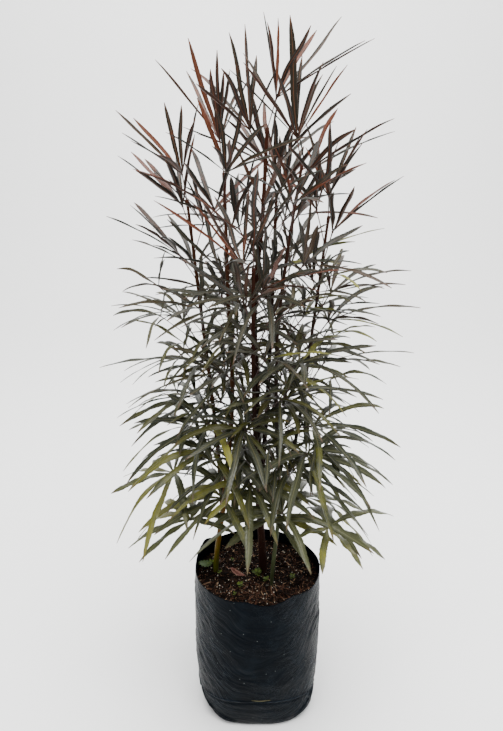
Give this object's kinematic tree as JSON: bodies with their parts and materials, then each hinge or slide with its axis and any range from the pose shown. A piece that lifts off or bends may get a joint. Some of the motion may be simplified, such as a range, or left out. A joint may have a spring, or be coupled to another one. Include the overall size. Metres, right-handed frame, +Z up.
{
  "type": "potted false aralia",
  "caption": "False aralia with whorls of narrow toothed leaflets on slender forked canes, planted in a soft black nursery bag filled with bark mix.",
  "frame": {"origin": "centre of the bag's flat base, on the surface that it stands on", "axes": "+Z up; -Y towards the viewer of the picture; +X to that viewer's right"},
  "size_m": [0.5142, 0.4697, 1.2322],
  "materials": {
    "film": "black polythene film with a soft sheen",
    "potting_mix": "loose damp bark and peat",
    "foliage": "satin bronze green leaves on brown canes",
    "seedling": "soft green weed leaves",
    "dry_leaf": "dry pinkish brown leaf"
  },
  "bodies": {
    "root": {"nursery_bag": "film", "soil": "potting_mix", "cane_left": "foliage", "cane_centre": "foliage", "cane_right": "foliage", "seedling_left": "seedling", "seedling_middle": "seedling", "seedling_front": "seedling", "seedling_stem": "seedling", "seedling_right": "seedling", "fallen_leaflet": "dry_leaf"}
  },
  "joints": []
}
